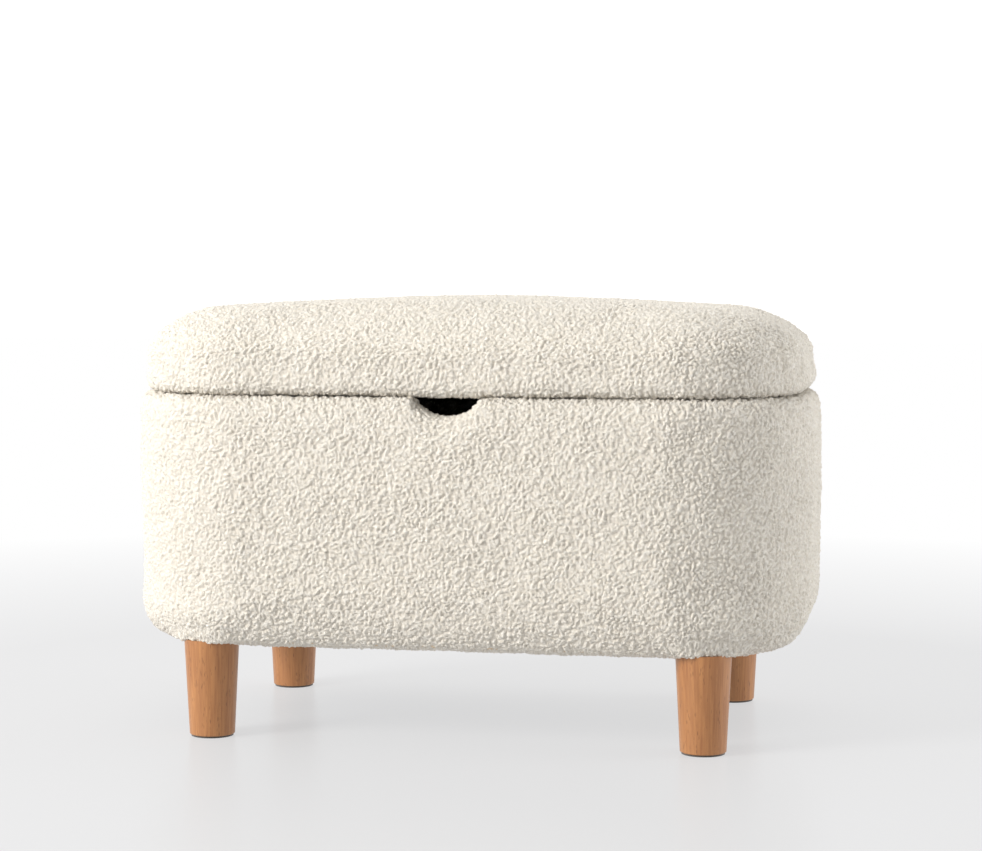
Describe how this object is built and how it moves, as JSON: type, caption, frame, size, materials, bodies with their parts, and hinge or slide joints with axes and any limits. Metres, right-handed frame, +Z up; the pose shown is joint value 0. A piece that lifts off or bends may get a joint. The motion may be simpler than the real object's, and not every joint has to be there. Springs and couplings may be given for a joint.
{
  "type": "upholstered toy box",
  "caption": "Rounded toy box and pouffe in cream curled pile, with a padded hinged lid, a finger gap at the front and turned tapered wooden legs.",
  "frame": {"origin": "on the floor under the middle of the box", "axes": "+Z up, front with the finger gap towards -Y, +X to the right seen from the front"},
  "size_m": [0.7, 0.4, 0.45],
  "materials": {
    "boucle": "curled cream pile",
    "beech": "clear satin lacquer",
    "plywood": "sanded birch plywood",
    "foam": "open-cell foam",
    "dark_cloth": "plain non-woven cloth",
    "felt": "pressed felt",
    "zinc_steel": "bright zinc plate"
  },
  "bodies": {
    "box": {"back_panel": "plywood", "base_panel": "plywood", "body_cover": "boucle", "body_foam": "foam", "box_hinge_screws": "zinc_steel", "carcass_screws": "zinc_steel", "corner_back_left": "plywood", "corner_back_right": "plywood", "corner_front_left": "plywood", "corner_front_right": "plywood", "cover_staples": "zinc_steel", "dust_cover": "dark_cloth", "floor_lining": "dark_cloth", "front_panel": "plywood", "glide_back_left": "felt", "glide_back_right": "felt", "glide_front_left": "felt", "glide_front_right": "felt", "hanger_bolts": "zinc_steel", "hinge_left_box_leaf": "zinc_steel", "hinge_left_pin": "zinc_steel", "hinge_right_box_leaf": "zinc_steel", "hinge_right_pin": "zinc_steel", "joint_splines": "plywood", "left_panel": "plywood", "leg_back_left": "beech", "leg_back_right": "beech", "leg_front_left": "beech", "leg_front_right": "beech", "right_panel": "plywood", "threaded_inserts": "zinc_steel", "wall_lining": "dark_cloth"},
    "lid": {"hinge_left_lid_leaf": "zinc_steel", "hinge_right_lid_leaf": "zinc_steel", "lid_board": "plywood", "lid_cover": "boucle", "lid_foam": "foam", "lid_hinge_screws": "zinc_steel", "lid_lining": "dark_cloth", "lid_staples": "zinc_steel"}
  },
  "joints": [
    {"name": "lid_hinge", "type": "hinge", "parent": "box", "child": "lid", "pos_m": [0, 0.1955, 0.3498], "axis": [-1, 0, 0], "range_deg": [0, 100]}
  ]
}
